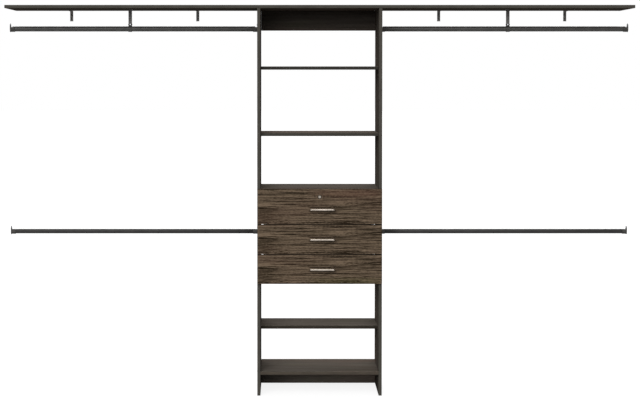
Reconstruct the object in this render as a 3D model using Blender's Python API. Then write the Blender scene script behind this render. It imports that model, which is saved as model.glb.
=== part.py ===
"""Wall mounted closet system: a shelf tower with three drawers, a long top shelf and four hanging rods.

Metres, +Z up. The front faces -Y, the wall is on the +Y side, and the tower stands on z = 0.
The origin is under the middle of the whole unit's box.
"""

import math

import bmesh
import bpy
from mathutils import Matrix, Vector

# Driving sizes of the whole unit
OVERALL_WIDTH = 3.000
TOWER_WIDTH = 0.596
SHELF_DEPTH = 0.350
BOARD = 0.015
EDGE_EASE = 0.0008

# Free heights of the tower, from the floor up
KICK_SPACE = 0.100
SHOE_BAY = 0.190
LOW_BAY = 0.2185
CHEST_BAY = 0.2495
MIDDLE_BAY = 0.304
TOP_BAY = 0.277
TOP_RAIL_HEIGHT = 0.098

# How far the shelves' front edges lie behind the tower's, and the base rail before the wall
SHELF_SETBACK = 0.045
LOWER_SHELF_SETBACK = 0.105
BASE_RAIL_SETBACK = 0.015

# Play between neighbours
FIT = 0.0003
OVERRUN = 0.002

# Drawers
DRAWER_COUNT = 3
FRONT_HEIGHT = 0.140
TOP_FRONT_EXTRA = 0.028
FRONT_REVEAL = 0.003
FRONT_SIDE_REVEAL = 0.0005
FRONT_STANDOFF = 0.0015
BOX_BOARD = 0.012
BOX_RISE = 0.015
BOX_HEIGHT = 0.110
BOX_BACK_SPACE = 0.038
BOTTOM_SHEET = 0.003
BOTTOM_RISE = 0.010
GROOVE_DEPTH = 0.005

# Drawer runners: a channel on the tower, and a channel on the drawer that nests in it
RUNNER_SPACE = 0.013
RUNNER_STEEL = 0.0012
RUNNER_HEIGHT = 0.035
RUNNER_FLANGE = 0.009
RUNNER_RISE = 0.050
RUNNER_END_SPACE = 0.010

# Handles
HANDLE_LENGTH = 0.117
HANDLE_HEIGHT = 0.008
HANDLE_BAR = 0.006
HANDLE_LEG = 0.008
HANDLE_REACH = 0.026
HANDLE_CORNER = 0.004
HANDLE_EASE = 0.001
HANDLE_RISE = 0.070
HANDLE_SHIFT = 0.012

# Cam lock of the top drawer
LOCK_DROP = 0.038
LOCK_FACE_RADIUS = 0.0095
LOCK_FACE = 0.002
LOCK_BARREL_RADIUS = 0.008
KEY_SLOT_LENGTH = 0.0065
KEY_SLOT_WIDTH = 0.0014
KEY_SLOT_DEPTH = 0.004
CAM_SETBACK = 0.012
CAM_STEEL = 0.002
CAM_REACH = 0.030
CAM_WIDTH = 0.010
MORTISE_PLAY = 0.0015

# Hanging rods, of which the lower ones are thinner
UPPER_ROD_RADIUS = 0.0125
LOWER_ROD_RADIUS = 0.011
ROD_WALL = 0.0012
ROD_END_SPACE = 0.010
ROD_SETBACK = 0.168
UPPER_ROD_DROP = 0.0945
ROD_SPACING = 0.985

# Rod ends: a screwed plate with a cup that is open at the top
END_PLATE = 0.002
END_HALF_WIDTH = 0.0155
END_ABOVE = 0.026
CUP_WALL = 0.0016
CUP_REACH = 0.020
CUP_LIP = 0.009

# Hangers that carry the upper rods half-way along
HANGER_FROM_END = 0.583
HANGER_WIDTH = 0.0172
HANGER_STEEL = 0.0018
HANGER_FOOT = 0.040

# Angle brackets between the wall and the top shelf
BRACKET_FROM_TOWER = 0.3005
BRACKET_FROM_END = 0.275
BRACKET_WIDTH = 0.015
BRACKET_STEEL = 0.002
BRACKET_DROP = 0.0515
BRACKET_ARM = 0.050

# Screw holes in the metal parts
SCREW_RADIUS = 0.0021
SCREW_EDGE = 0.010

ROUND_SIDES = 32
SMALL_SIDES = 16
ARC_STEPS = 16
SMOOTH_ANGLE = math.radians(35)

# Levels of the tower, worked out from the floor up
base_level = KICK_SPACE
lower_level = base_level + BOARD + SHOE_BAY
drawers_bottom = lower_level + BOARD + LOW_BAY
chest_height = DRAWER_COUNT * FRONT_HEIGHT + (DRAWER_COUNT - 1) * FRONT_REVEAL + TOP_FRONT_EXTRA
chest_level = drawers_bottom + chest_height - BOARD
middle_level = chest_level + BOARD + CHEST_BAY
upper_level = middle_level + BOARD + MIDDLE_BAY
top_level = upper_level + BOARD + TOP_BAY

# Widths and depths
half_width = OVERALL_WIDTH / 2
tower_outside = TOWER_WIDTH / 2
tower_inside = tower_outside - BOARD
unit_depth = SHELF_DEPTH + FRONT_STANDOFF + BOARD + HANDLE_REACH
wall_y = unit_depth / 2
front_y = wall_y - SHELF_DEPTH
face_y = front_y - FRONT_STANDOFF - BOARD
rod_y = front_y + ROD_SETBACK
upper_rod_z = top_level - UPPER_ROD_DROP
lower_rod_z = upper_rod_z - ROD_SPACING

# Colour, roughness and metallic value of each finish
DARK_BOARD = ((0.078, 0.065, 0.054), 0.55, 0.0)
DRAWER_WOOD = ((0.088, 0.069, 0.049), 0.5, 0.0)
BOX_GREY = ((0.10, 0.085, 0.07), 0.6, 0.0)
HARDBOARD = ((0.13, 0.10, 0.075), 0.7, 0.0)
ZINC = ((0.52, 0.53, 0.54), 0.35, 1.0)
DARK_TUBE = ((0.10, 0.10, 0.098), 0.35, 0.6)
DARK_STEEL = ((0.085, 0.083, 0.08), 0.45, 0.5)
DARK_PLASTIC = ((0.075, 0.073, 0.07), 0.5, 0.0)
NICKEL = ((0.74, 0.64, 0.53), 0.3, 0.9)


def clear_scene():
    """Start from an empty scene."""
    for thing in list(bpy.data.objects):
        bpy.data.objects.remove(thing, do_unlink=True)


def finish(name, look):
    """A Principled material for one piece."""
    colour, roughness, metallic = look
    material = bpy.data.materials.new(name)
    material.use_nodes = True
    shader = material.node_tree.nodes["Principled BSDF"]
    shader.inputs["Base Color"].default_value = (*colour, 1.0)
    shader.inputs["Roughness"].default_value = roughness
    shader.inputs["Metallic"].default_value = metallic
    material.diffuse_color = (*colour, 1.0)
    return material


def add_piece(name, shape, place, look, carrier=None):
    """Turn a bmesh into a named object at a place, carried by an empty if one is given."""
    bmesh.ops.recalc_face_normals(shape, faces=shape.faces)
    mesh = bpy.data.meshes.new(name)
    shape.to_mesh(mesh)
    shape.free()
    mesh.materials.append(finish(name, look))
    piece = bpy.data.objects.new(name, mesh)
    bpy.context.scene.collection.objects.link(piece)
    piece.location = Vector(place)
    if carrier is not None:
        piece.parent = carrier
        piece.location -= carrier.location
    return piece


def add_carrier(name, place):
    """An empty on a joint's axis, which the moving pieces are parented to."""
    empty = bpy.data.objects.new(name, None)
    bpy.context.scene.collection.objects.link(empty)
    empty.location = Vector(place)
    return empty


def block_shape(x, y, z):
    """A box between three (low, high) spans, drawn about its own centre, and that centre."""
    size = [high - low for low, high in (x, y, z)]
    centre = [(low + high) / 2 for low, high in (x, y, z)]
    shape = bmesh.new()
    bmesh.ops.create_cube(shape, size=1, matrix=Matrix.Diagonal((*size, 1)))
    return shape, centre


def board(name, x, y, z, look, carrier=None):
    """A board or sheet with eased edges."""
    shape, centre = block_shape(x, y, z)
    piece = add_piece(name, shape, centre, look, carrier)
    ease_edges(piece, EDGE_EASE)
    return piece


def ease_edges(piece, width):
    """A small flat on every sharp edge."""
    ease = piece.modifiers.new("eased edges", "BEVEL")
    ease.width = width
    ease.segments = 1
    ease.limit_method = "ANGLE"


def extruded(name, outline, along, span, place, look, carrier=None):
    """Push an outline through a span. Outlines are (y, z) along X, (x, z) along Y and (x, y) along Z."""
    low, high = span
    corners = {
        "X": lambda a, b: (low, a, b),
        "Y": lambda a, b: (a, low, b),
        "Z": lambda a, b: (a, b, low),
    }[along]
    push = Vector({"X": (1, 0, 0), "Y": (0, 1, 0), "Z": (0, 0, 1)}[along]) * (high - low)
    shape = bmesh.new()
    face = shape.faces.new([shape.verts.new(corners(a, b)) for a, b in outline])
    grown = bmesh.ops.extrude_face_region(shape, geom=[face])
    moved = [part for part in grown["geom"] if isinstance(part, bmesh.types.BMVert)]
    bmesh.ops.translate(shape, verts=moved, vec=push)
    return add_piece(name, shape, place, look, carrier)


def arc(centre, radius, start, end, steps=ARC_STEPS):
    """Points on an arc, with angles in degrees from the outline's first axis."""
    turns = [math.radians(start + (end - start) * step / steps) for step in range(steps + 1)]
    return [(centre[0] + radius * math.cos(t), centre[1] + radius * math.sin(t)) for t in turns]


def turned_to(along):
    """The turn that lays a cylinder, which stands along Z, along another axis."""
    quarter = math.pi / 2
    return {
        "X": Matrix.Rotation(quarter, 4, "Y"),
        "Y": Matrix.Rotation(-quarter, 4, "X"),
        "Z": Matrix.Identity(4),
    }[along]


def round_shape(radius, length, along, sides):
    """A cylinder about its own centre."""
    shape = bmesh.new()
    bmesh.ops.create_cone(
        shape, cap_ends=True, segments=sides, radius1=radius, radius2=radius, depth=length,
        matrix=turned_to(along),
    )
    return shape


def smooth_rounds(piece):
    """Smooth shading, sharp at the real edges."""
    piece.data.shade_smooth()
    piece.data.set_sharp_from_angle(angle=SMOOTH_ANGLE)


def combine(piece, tool, operation):
    """Join a tool to a piece, or cut it away, and leave the tool as a hidden guide."""
    tool.hide_render = True
    tool.display_type = "WIRE"
    step = piece.modifiers.new(tool.name, "BOOLEAN")
    step.operation = operation
    step.object = tool
    step.solver = "EXACT"


def carve(piece, label, x, y, z):
    """Cut a rectangular pocket."""
    shape, centre = block_shape(x, y, z)
    combine(piece, add_piece(f"{piece.name}_{label}", shape, centre, ZINC), "DIFFERENCE")


def drill(piece, label, centre, radius, along, length, sides=SMALL_SIDES):
    """Cut a round hole about a centre."""
    shape = round_shape(radius, length, along, sides)
    combine(piece, add_piece(f"{piece.name}_{label}", shape, centre, ZINC), "DIFFERENCE")


def weld_round(piece, label, centre, radius, along, length, sides=ROUND_SIDES):
    """Join a cylinder to a piece."""
    shape = round_shape(radius, length, along, sides)
    combine(piece, add_piece(f"{piece.name}_{label}", shape, centre, ZINC), "UNION")


def make_tower():
    """Side panels, fixed shelves, a rail that is screwed to the wall and a rail under the base shelf."""
    whole_depth = (front_y, wall_y)
    for side, label in ((-1, "left"), (1, "right")):
        x = sorted((side * tower_inside, side * tower_outside))
        board(f"tower_side_{label}", x, whole_depth, (0, top_level - FIT), DARK_BOARD)

    between = (-tower_inside + FIT, tower_inside - FIT)
    shelves = (
        ("base_shelf", base_level, 0),
        ("lower_shelf", lower_level, LOWER_SHELF_SETBACK),
        ("chest_top", chest_level, 0),
        ("middle_shelf", middle_level, SHELF_SETBACK),
        ("upper_shelf", upper_level, SHELF_SETBACK),
    )
    made = {}
    for name, level, setback in shelves:
        depth = (front_y + setback, wall_y)
        made[name] = board(name, between, depth, (level, level + BOARD), DARK_BOARD)

    rail_top = top_level - FIT
    rails = (
        ("top_back_rail", wall_y, (rail_top - TOP_RAIL_HEIGHT, rail_top)),
        ("base_back_rail", wall_y - BASE_RAIL_SETBACK, (0, base_level - FIT)),
    )
    for name, back, z in rails:
        board(name, between, (back - BOARD, back), z, DARK_BOARD)
    cut_lock_mortise(made["chest_top"])


def cut_lock_mortise(chest_top):
    """A pocket under the chest's top that the lock's cam turns up into."""
    lock_z = chest_level + BOARD - LOCK_DROP
    rise = chest_level - lock_z
    tip = math.hypot(CAM_REACH, CAM_WIDTH / 2)
    swing_in = math.sqrt(tip**2 - rise**2)
    cam_y = front_y + CAM_SETBACK
    carve(
        chest_top, "mortise",
        (-swing_in - MORTISE_PLAY, CAM_WIDTH / 2 + MORTISE_PLAY),
        (cam_y - MORTISE_PLAY, cam_y + CAM_STEEL + MORTISE_PLAY),
        (chest_level - OVERRUN, lock_z + tip + MORTISE_PLAY),
    )


def make_top_shelf():
    """Two boards that meet over the left side of the tower."""
    seam = -(tower_inside + tower_outside) / 2
    z = (top_level, top_level + BOARD)
    board("top_shelf_left", (-half_width, seam - FIT / 2), (front_y, wall_y), z, DARK_BOARD)
    board("top_shelf_right", (seam + FIT / 2, half_width), (front_y, wall_y), z, DARK_BOARD)


def channel_outline(web_at, flange_to, height):
    """A steel C standing on its web, with (x, z) points about the channel's middle height."""
    inward = 1 if flange_to > web_at else -1
    web_inside = web_at + inward * RUNNER_STEEL
    outer, inner = height / 2, height / 2 - RUNNER_STEEL
    return [
        (web_at, -outer), (flange_to, -outer), (flange_to, -inner), (web_inside, -inner),
        (web_inside, inner), (flange_to, inner), (flange_to, outer), (web_at, outer),
    ]


def make_drawer(number, front_bottom, front_height):
    """One drawer box with its front, handle and runners, carried by an empty on its slide's axis."""
    name = f"drawer_{number}"
    box_bottom = front_bottom + BOX_RISE
    box_top = box_bottom + BOX_HEIGHT
    runner_z = box_bottom + RUNNER_RISE
    carrier = add_carrier(f"{name}_slide", (0, front_y, runner_z))

    front_half = tower_outside - FRONT_SIDE_REVEAL
    front_back = front_y - FRONT_STANDOFF
    front = board(
        f"{name}_front", (-front_half, front_half), (face_y, front_back),
        (front_bottom, front_bottom + front_height), DRAWER_WOOD, carrier,
    )

    box_outside = tower_inside - RUNNER_SPACE
    box_inside = box_outside - BOX_BOARD
    side_y = (front_back + FIT, wall_y - BOX_BACK_SPACE)
    groove_bottom = box_bottom + BOTTOM_RISE
    groove_top = groove_bottom + BOTTOM_SHEET + 2 * FIT
    for side, label in ((-1, "left"), (1, "right")):
        inner, outer = side * box_inside, side * box_outside
        groove = inner + side * GROOVE_DEPTH
        outline = [
            (outer, box_bottom), (outer, box_top), (inner, box_top), (inner, groove_top),
            (groove, groove_top), (groove, groove_bottom), (inner, groove_bottom), (inner, box_bottom),
        ]
        middle = (outer, 0, box_bottom)
        local = [(x - outer, z - box_bottom) for x, z in outline]
        extruded(f"{name}_side_{label}", local, "Y", side_y, middle, BOX_GREY, carrier)

    back_y = (side_y[1] - BOX_BOARD, side_y[1])
    board(
        f"{name}_back", (-box_inside + FIT, box_inside - FIT), back_y, (groove_top, box_top),
        BOX_GREY, carrier,
    )

    sheet_half = box_inside + GROOVE_DEPTH - FIT
    sheet_front = front_back - GROOVE_DEPTH + FIT
    sheet_z = (groove_bottom + FIT, groove_bottom + FIT + BOTTOM_SHEET)
    sheet, centre = block_shape((-sheet_half, sheet_half), (sheet_front, side_y[1]), sheet_z)
    add_piece(f"{name}_bottom", sheet, centre, HARDBOARD, carrier)
    carve(
        front, "groove", (-sheet_half - FIT, sheet_half + FIT),
        (front_back - GROOVE_DEPTH, front_back + OVERRUN), (groove_bottom, groove_top),
    )

    make_handle(name, front_bottom + HANDLE_RISE, carrier)
    make_runners(name, runner_z, side_y, carrier)
    return front, carrier


def make_runners(name, runner_z, side_y, carrier):
    """Cabinet channels on the tower, and the drawer's channels nested in them."""
    run_y = (front_y + FRONT_STANDOFF, side_y[1] - RUNNER_END_SPACE)
    nested_height = RUNNER_HEIGHT - 2 * (RUNNER_STEEL + FIT)
    for side, label in ((-1, "left"), (1, "right")):
        place = (side * tower_inside, 0, runner_z)
        web = -side * FIT
        fixed = channel_outline(web, web - side * RUNNER_FLANGE, RUNNER_HEIGHT)
        extruded(f"{name}_cabinet_runner_{label}", fixed, "Y", run_y, place, ZINC)
        web = -side * (RUNNER_SPACE - FIT)
        nested = channel_outline(web, web + side * RUNNER_FLANGE, nested_height)
        extruded(f"{name}_box_runner_{label}", nested, "Y", run_y, place, ZINC, carrier)


def make_handle(name, handle_z, carrier):
    """A flat bridge handle: a bar on two legs, cut from one outline seen from above."""
    end = HANDLE_LENGTH / 2
    foot_y, bar_y = -FIT, -HANDLE_REACH
    inner_y = bar_y + HANDLE_BAR
    corner = HANDLE_CORNER
    outline = [(end, foot_y)]
    outline += arc((end - corner, bar_y + corner), corner, 0, -90, ARC_STEPS // 4)
    outline += arc((corner - end, bar_y + corner), corner, -90, -180, ARC_STEPS // 4)
    outline += [(-end, foot_y), (HANDLE_LEG - end, foot_y), (HANDLE_LEG - end, inner_y)]
    outline += [(end - HANDLE_LEG, inner_y), (end - HANDLE_LEG, foot_y)]
    half = HANDLE_HEIGHT / 2
    place = (HANDLE_SHIFT, face_y, handle_z)
    piece = extruded(f"{name}_handle", outline, "Z", (-half, half), place, NICKEL, carrier)
    ease_edges(piece, HANDLE_EASE)
    smooth_rounds(piece)


def make_lock(front, carrier):
    """The top drawer's cam lock. Its plug turns a quarter, and the cam points to the left at rest."""
    lock_z = chest_level + BOARD - LOCK_DROP
    axis_point = (0, front_y, lock_z)
    drill(
        front, "lock_bore", (0, (face_y + front_y) / 2, lock_z), LOCK_BARREL_RADIUS + FIT, "Y",
        BOARD + FRONT_STANDOFF + 2 * OVERRUN, ROUND_SIDES,
    )
    pivot = add_carrier("drawer_lock_pivot", axis_point)
    pivot.parent = carrier
    pivot.location -= carrier.location

    face_back = face_y - FIT - front_y
    half = CAM_WIDTH / 2
    outline = arc((0, 0), half, -90, 90) + arc((-CAM_REACH + half, 0), half, 90, 270)
    cam_y = (CAM_SETBACK, CAM_SETBACK + CAM_STEEL)
    lock = extruded("drawer_lock", outline, "Y", cam_y, (0, 0, 0), NICKEL, pivot)
    lock.location = (0, 0, 0)

    barrel_y = (face_back, CAM_SETBACK + CAM_STEEL / 2)
    disc_y = (face_back - LOCK_FACE, face_back)
    parts = (
        ("barrel", LOCK_BARREL_RADIUS, (barrel_y[0] - LOCK_FACE / 2, barrel_y[1])),
        ("disc", LOCK_FACE_RADIUS, disc_y),
    )
    for label, radius, (low, high) in parts:
        centre = (0, front_y + (low + high) / 2, lock_z)
        weld_round(lock, label, centre, radius, "Y", high - low)
    slot_y = front_y + disc_y[0]
    carve(
        lock, "key_slot", (-KEY_SLOT_WIDTH / 2, KEY_SLOT_WIDTH / 2),
        (slot_y - OVERRUN, slot_y + KEY_SLOT_DEPTH),
        (lock_z - KEY_SLOT_LENGTH / 2, lock_z + KEY_SLOT_LENGTH / 2),
    )
    smooth_rounds(lock)


def make_drawers():
    """Three drawers from the bottom up; the top front is taller and covers the chest's top board."""
    for number in range(DRAWER_COUNT, 0, -1):
        below = DRAWER_COUNT - number
        bottom = drawers_bottom + below * (FRONT_HEIGHT + FRONT_REVEAL)
        height = FRONT_HEIGHT + (TOP_FRONT_EXTRA if number == 1 else 0)
        front, carrier = make_drawer(number, bottom, height)
        if number == 1:
            make_lock(front, carrier)


def make_rod(name, x_low, x_high, z, radius):
    """A round steel tube along X."""
    length = x_high - x_low
    centre = ((x_low + x_high) / 2, rod_y, z)
    rod = add_piece(name, round_shape(radius, length, "X", ROUND_SIDES), centre, DARK_TUBE)
    bore = length + 2 * OVERRUN
    drill(rod, "bore", centre, radius - ROD_WALL, "X", bore, ROUND_SIDES)
    smooth_rounds(rod)


def make_rod_end(name, face_x, inward, z, radius):
    """A plate against a wall or panel, with a cup for the rod. inward is the side that the rod is on."""
    below = radius + FIT + CUP_WALL
    half = END_HALF_WIDTH
    crown = END_ABOVE - half
    plate = arc((0, 0), half, 180, 360) + arc((0, crown), half, 0, 180)
    spans = sorted((0, inward * END_PLATE))
    end = extruded(name, plate, "X", spans, (face_x, rod_y, z), DARK_PLASTIC)

    inner = radius + FIT
    cup = [(-below, CUP_LIP)] + arc((0, 0), below, 180, 360) + [(below, CUP_LIP), (inner, CUP_LIP)]
    cup += arc((0, 0), inner, 360, 180) + [(-inner, CUP_LIP)]
    reach = sorted((inward * END_PLATE / 2, inward * (END_PLATE + CUP_REACH)))
    tool = extruded(f"{name}_cup", cup, "X", reach, (face_x, rod_y, z), DARK_PLASTIC)
    combine(end, tool, "UNION")

    screw_z = z + (radius + END_ABOVE) / 2
    through = END_PLATE + 2 * OVERRUN
    middle = face_x + inward * END_PLATE / 2
    drill(end, "upper_screw", (middle, rod_y, screw_z), SCREW_RADIUS, "X", through)
    drill(end, "lower_screw", (middle, rod_y, z), SCREW_RADIUS, "X", through)
    smooth_rounds(end)


def make_rods():
    """Two rods on each side of the tower, each in a cup at the tower and one at the side wall."""
    levels = (("upper", upper_rod_z, UPPER_ROD_RADIUS), ("lower", lower_rod_z, LOWER_ROD_RADIUS))
    for level, z, radius in levels:
        for side, label in ((-1, "left"), (1, "right")):
            wall_x = side * half_width
            tower_x = side * (tower_outside + FIT)
            make_rod_end(f"{level}_rod_wall_end_{label}", wall_x, -side, z, radius)
            make_rod_end(f"{level}_rod_tower_end_{label}", tower_x, side, z, radius)
            from_face = END_PLATE + ROD_END_SPACE
            stops = (wall_x - side * from_face, tower_x + side * from_face)
            make_rod(f"{level}_rod_{label}", min(stops), max(stops), z, radius)


def make_hanger(label, x):
    """A steel strip under the top shelf: a foot, a leg and a loop round the rod."""
    inner = UPPER_ROD_RADIUS + FIT
    outer = inner + HANGER_STEEL
    half = HANGER_STEEL / 2
    top = top_level - FIT - upper_rod_z
    meet = math.degrees(math.asin(half / outer))
    outline = [(-half, top)] + arc((0, 0), outer, 90 + meet, 450 - meet, 2 * ARC_STEPS)
    outline += [(half, top - HANGER_STEEL), (HANGER_FOOT - half, top - HANGER_STEEL)]
    outline += [(HANGER_FOOT - half, top)]
    width = (-HANGER_WIDTH / 2, HANGER_WIDTH / 2)
    place = (x, rod_y, upper_rod_z)
    hanger = extruded(f"rod_hanger_{label}", outline, "X", width, place, DARK_STEEL)
    drill(hanger, "loop", place, inner, "X", HANGER_WIDTH + 2 * OVERRUN, ROUND_SIDES)
    foot_z = top_level - FIT - HANGER_STEEL / 2
    for step, y in enumerate((SCREW_EDGE + half, HANGER_FOOT - SCREW_EDGE)):
        centre = (x, rod_y + y, foot_z)
        drill(hanger, f"screw_{step + 1}", centre, SCREW_RADIUS, "Z", HANGER_STEEL + 2 * OVERRUN)
    smooth_rounds(hanger)


def make_bracket(label, x):
    """A steel angle: one leg on the wall, one under the top shelf."""
    steel, arm, drop = BRACKET_STEEL, BRACKET_ARM, BRACKET_DROP
    outline = [(0, 0), (-arm, 0), (-arm, -steel), (-steel, -steel), (-steel, -drop), (0, -drop)]
    width = (-BRACKET_WIDTH / 2, BRACKET_WIDTH / 2)
    place = (x, wall_y, top_level - FIT)
    bracket = extruded(f"wall_bracket_{label}", outline, "X", width, place, DARK_STEEL)
    through = steel + 2 * OVERRUN
    leg_y, arm_z = wall_y - steel / 2, place[2] - steel / 2
    for step, drop_at in enumerate((2 * SCREW_EDGE, drop - SCREW_EDGE)):
        drill(bracket, f"wall_screw_{step + 1}", (x, leg_y, place[2] - drop_at), SCREW_RADIUS, "Y", through)
    for step, out in enumerate((2 * SCREW_EDGE, arm - SCREW_EDGE)):
        drill(bracket, f"shelf_screw_{step + 1}", (x, wall_y - out, arm_z), SCREW_RADIUS, "Z", through)


def make_supports():
    """Hangers and wall brackets, the same on both sides."""
    for side, label in ((-1, "left"), (1, "right")):
        make_hanger(label, side * (half_width - HANGER_FROM_END))
        make_bracket(f"inner_{label}", side * (tower_outside + BRACKET_FROM_TOWER))
        make_bracket(f"outer_{label}", side * (half_width - BRACKET_FROM_END))


clear_scene()
make_tower()
make_top_shelf()
make_drawers()
make_rods()
make_supports()
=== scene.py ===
# %% [markdown]
# # A wall mounted closet system
# The unit is a tall shelf tower with three drawers, one long shelf on top and four hanging rods.
# Its solids come packed as a fixed frame, in metres, with +Z up and the front towards -Y.
# This file gives every board, tube and fitting its finish and adds the small hardware.

import math

import bmesh
import bpy
from mathutils import Matrix, Vector


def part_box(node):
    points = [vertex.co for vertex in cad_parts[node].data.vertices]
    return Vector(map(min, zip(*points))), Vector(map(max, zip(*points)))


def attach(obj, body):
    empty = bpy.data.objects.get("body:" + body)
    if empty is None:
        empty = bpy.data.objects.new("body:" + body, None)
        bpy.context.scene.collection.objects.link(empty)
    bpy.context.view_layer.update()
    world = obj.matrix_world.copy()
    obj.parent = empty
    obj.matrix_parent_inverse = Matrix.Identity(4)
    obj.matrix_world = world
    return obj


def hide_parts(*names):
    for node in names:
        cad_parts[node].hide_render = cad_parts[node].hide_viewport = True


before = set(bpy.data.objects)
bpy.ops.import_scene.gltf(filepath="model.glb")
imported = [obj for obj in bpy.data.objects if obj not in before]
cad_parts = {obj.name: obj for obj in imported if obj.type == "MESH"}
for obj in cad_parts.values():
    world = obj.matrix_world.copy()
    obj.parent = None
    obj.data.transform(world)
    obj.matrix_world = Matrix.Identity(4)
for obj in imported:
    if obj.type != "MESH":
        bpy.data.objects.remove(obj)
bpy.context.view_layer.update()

# %% [markdown]
# The photograph is taken from far away and from the height of the upper shelf. The camera looks
# down a little, and its lens is shifted, so that the uprights stay nearly parallel. Its place was
# worked out from how much smaller the back of the unit looks than its front.

# %% Camera
FRAME_WIDTH, FRAME_HEIGHT = 640, 406
FOCAL_PIXELS = 1623.7
CENTRE_X, CENTRE_Y = 283.5, 124.46
CAMERA_DISTANCE = 7.733
CAMERA_X, CAMERA_HEIGHT = -0.1725, 1.5396
PITCH_DOWN = 1.78
SENSOR_WIDTH = 36
FARTHEST_SEEN = 200

front_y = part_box("tower_side_left")[0].y
camera_data = bpy.data.cameras.new("camera")
camera_data.sensor_width = SENSOR_WIDTH
camera_data.lens = FOCAL_PIXELS / FRAME_WIDTH * SENSOR_WIDTH
camera_data.shift_x = (FRAME_WIDTH / 2 - CENTRE_X) / FRAME_WIDTH
camera_data.shift_y = (CENTRE_Y - FRAME_HEIGHT / 2) / FRAME_WIDTH
camera_data.clip_end = FARTHEST_SEEN
camera = bpy.data.objects.new("camera", camera_data)
camera.location = (CAMERA_X, front_y - CAMERA_DISTANCE, CAMERA_HEIGHT)
camera.rotation_euler = (math.radians(90 - PITCH_DOWN), 0, 0)
bpy.context.scene.collection.objects.link(camera)
bpy.context.scene.camera = camera
print("lens", round(camera_data.lens, 2), "camera at", [round(value, 3) for value in camera.location])

# %% [markdown]
# Every finish below is a small network of nodes. These helpers add one node and connect it: an
# input is given either a plain value or the output socket that feeds it. The nodes lie side by
# side in their order, as they would in the shader editor.

# %% Node helpers
NODE_WIDTH, NODE_HEIGHT, NODES_IN_A_ROW = 240, 320, 10


def set_inputs(tree, sockets, values):
    """Give each input a plain value, or a link from the socket that feeds it."""
    for name, value in values.items():
        if isinstance(value, bpy.types.NodeSocket):
            tree.links.new(value, sockets[name])
        else:
            sockets[name].default_value = value


def add_node(tree, kind, inputs=None, **options):
    """Add a shader node, set its options, and then its inputs."""
    made = tree.nodes.new(f"ShaderNode{kind}")
    row, column = divmod(len(tree.nodes), NODES_IN_A_ROW)
    made.location = (NODE_WIDTH * column, -NODE_HEIGHT * row)
    for name, value in options.items():
        setattr(made, name, value)
    set_inputs(tree, made.inputs, inputs or {})
    return made


def calculate(tree, operation, *values):
    """The result of one Math node."""
    return add_node(tree, "Math", dict(enumerate(values)), operation=operation).outputs[0]


def combine(tree, x=0.0, y=0.0, z=0.0):
    """A vector from its three parts."""
    return add_node(tree, "CombineXYZ", {0: x, 1: y, 2: z}).outputs[0]


def vector_math(tree, operation, first, second):
    """The result of one Vector Math node."""
    return add_node(tree, "VectorMath", {0: first, 1: second}, operation=operation).outputs[0]


def stretch(tree, value, low, high, to_low=0.0, to_high=1.0):
    """Spread the part of a value between low and high over another range."""
    spans = {"Value": value, "From Min": low, "From Max": high, "To Min": to_low, "To Max": to_high}
    return add_node(tree, "MapRange", spans).outputs["Result"]


def near(tree, value, middle, half, fade):
    """1 where a value is within half of the middle, falling to 0 over the fade."""
    away = calculate(tree, "ABSOLUTE", calculate(tree, "SUBTRACT", value, middle))
    return stretch(tree, away, half + fade, half)


def blend_colours(tree, share, first, second):
    """Mix two colours, which are inputs 6 and 7 of the node. The share is that of the second one."""
    mixed = add_node(tree, "Mix", data_type="RGBA")
    colours = [value if isinstance(value, bpy.types.NodeSocket) else (*value, 1) for value in (first, second)]
    set_inputs(tree, mixed.inputs, {0: share, 6: colours[0], 7: colours[1]})
    return mixed.outputs[2]


def noise(tree, vector, scale, detail=2.0, roughness=0.5):
    """A noise texture's value, from 0 to 1."""
    values = {"Vector": vector, "Scale": scale, "Detail": detail, "Roughness": roughness}
    return add_node(tree, "TexNoise", values).outputs[0]


def seen_directly(tree):
    """1 where the camera, a reflection or a view through glass sees the surface, and 0 for soft light."""
    path = add_node(tree, "LightPath").outputs
    seen = calculate(tree, "MAXIMUM", path["Is Camera Ray"], path["Is Glossy Ray"])
    return calculate(tree, "MAXIMUM", seen, path["Is Transmission Ray"])


print("node helpers ready")

# %% [markdown]
# The studio is plain white. A photographer would hang a large soft lamp high in front of the
# unit, so its tops and fronts are lit and its undersides stay dark. Here a wide sun does that,
# with a weak even light from all round. A second wide sun from behind stands for the glow of the
# white backdrop, which lights the boards' tops too. The background and the floor are white only
# to what looks at them directly, so they don't flood the dark undersides with light.

# %% Lamps and background
SOFT_LIGHT, LAMP_WIDTH = 0.36, 50
KEY_STRENGTH, KEY_HEIGHT, KEY_TURN = 2.75, 25, -12
BACK_STRENGTH, BACK_HEIGHT, BACK_TURN = 2.1, 30, 180
WHITE = (1, 1, 1, 1)

scene = bpy.context.scene
scene.view_settings.view_transform = "Standard"
world = bpy.data.worlds.new("studio")
scene.world = world
world.use_nodes = True
tree = world.node_tree
tree.nodes.clear()
surround = add_node(tree, "Background", {"Color": WHITE, "Strength": SOFT_LIGHT})
backdrop = add_node(tree, "Background", {"Color": WHITE, "Strength": 1.0})
chosen = add_node(tree, "MixShader", {0: seen_directly(tree), 1: surround.outputs[0], 2: backdrop.outputs[0]})
add_node(tree, "OutputWorld", {"Surface": chosen.outputs[0]})


def hang_lamp(name, strength, height, turn):
    """A wide sun at a height in degrees. At a turn of 0 it shines from the front, at 180 from behind."""
    lamp_data = bpy.data.lights.new(name, "SUN")
    lamp_data.energy = strength
    lamp_data.angle = math.radians(LAMP_WIDTH)
    lamp = bpy.data.objects.new(name, lamp_data)
    lamp.rotation_euler = (math.radians(90 - height), 0, math.radians(turn))
    scene.collection.objects.link(lamp)


hang_lamp("front lamp", KEY_STRENGTH, KEY_HEIGHT, KEY_TURN)
hang_lamp("backdrop lamp", BACK_STRENGTH, BACK_HEIGHT, BACK_TURN)
print("lamps from", KEY_HEIGHT, "and", BACK_HEIGHT, "degrees")

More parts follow.
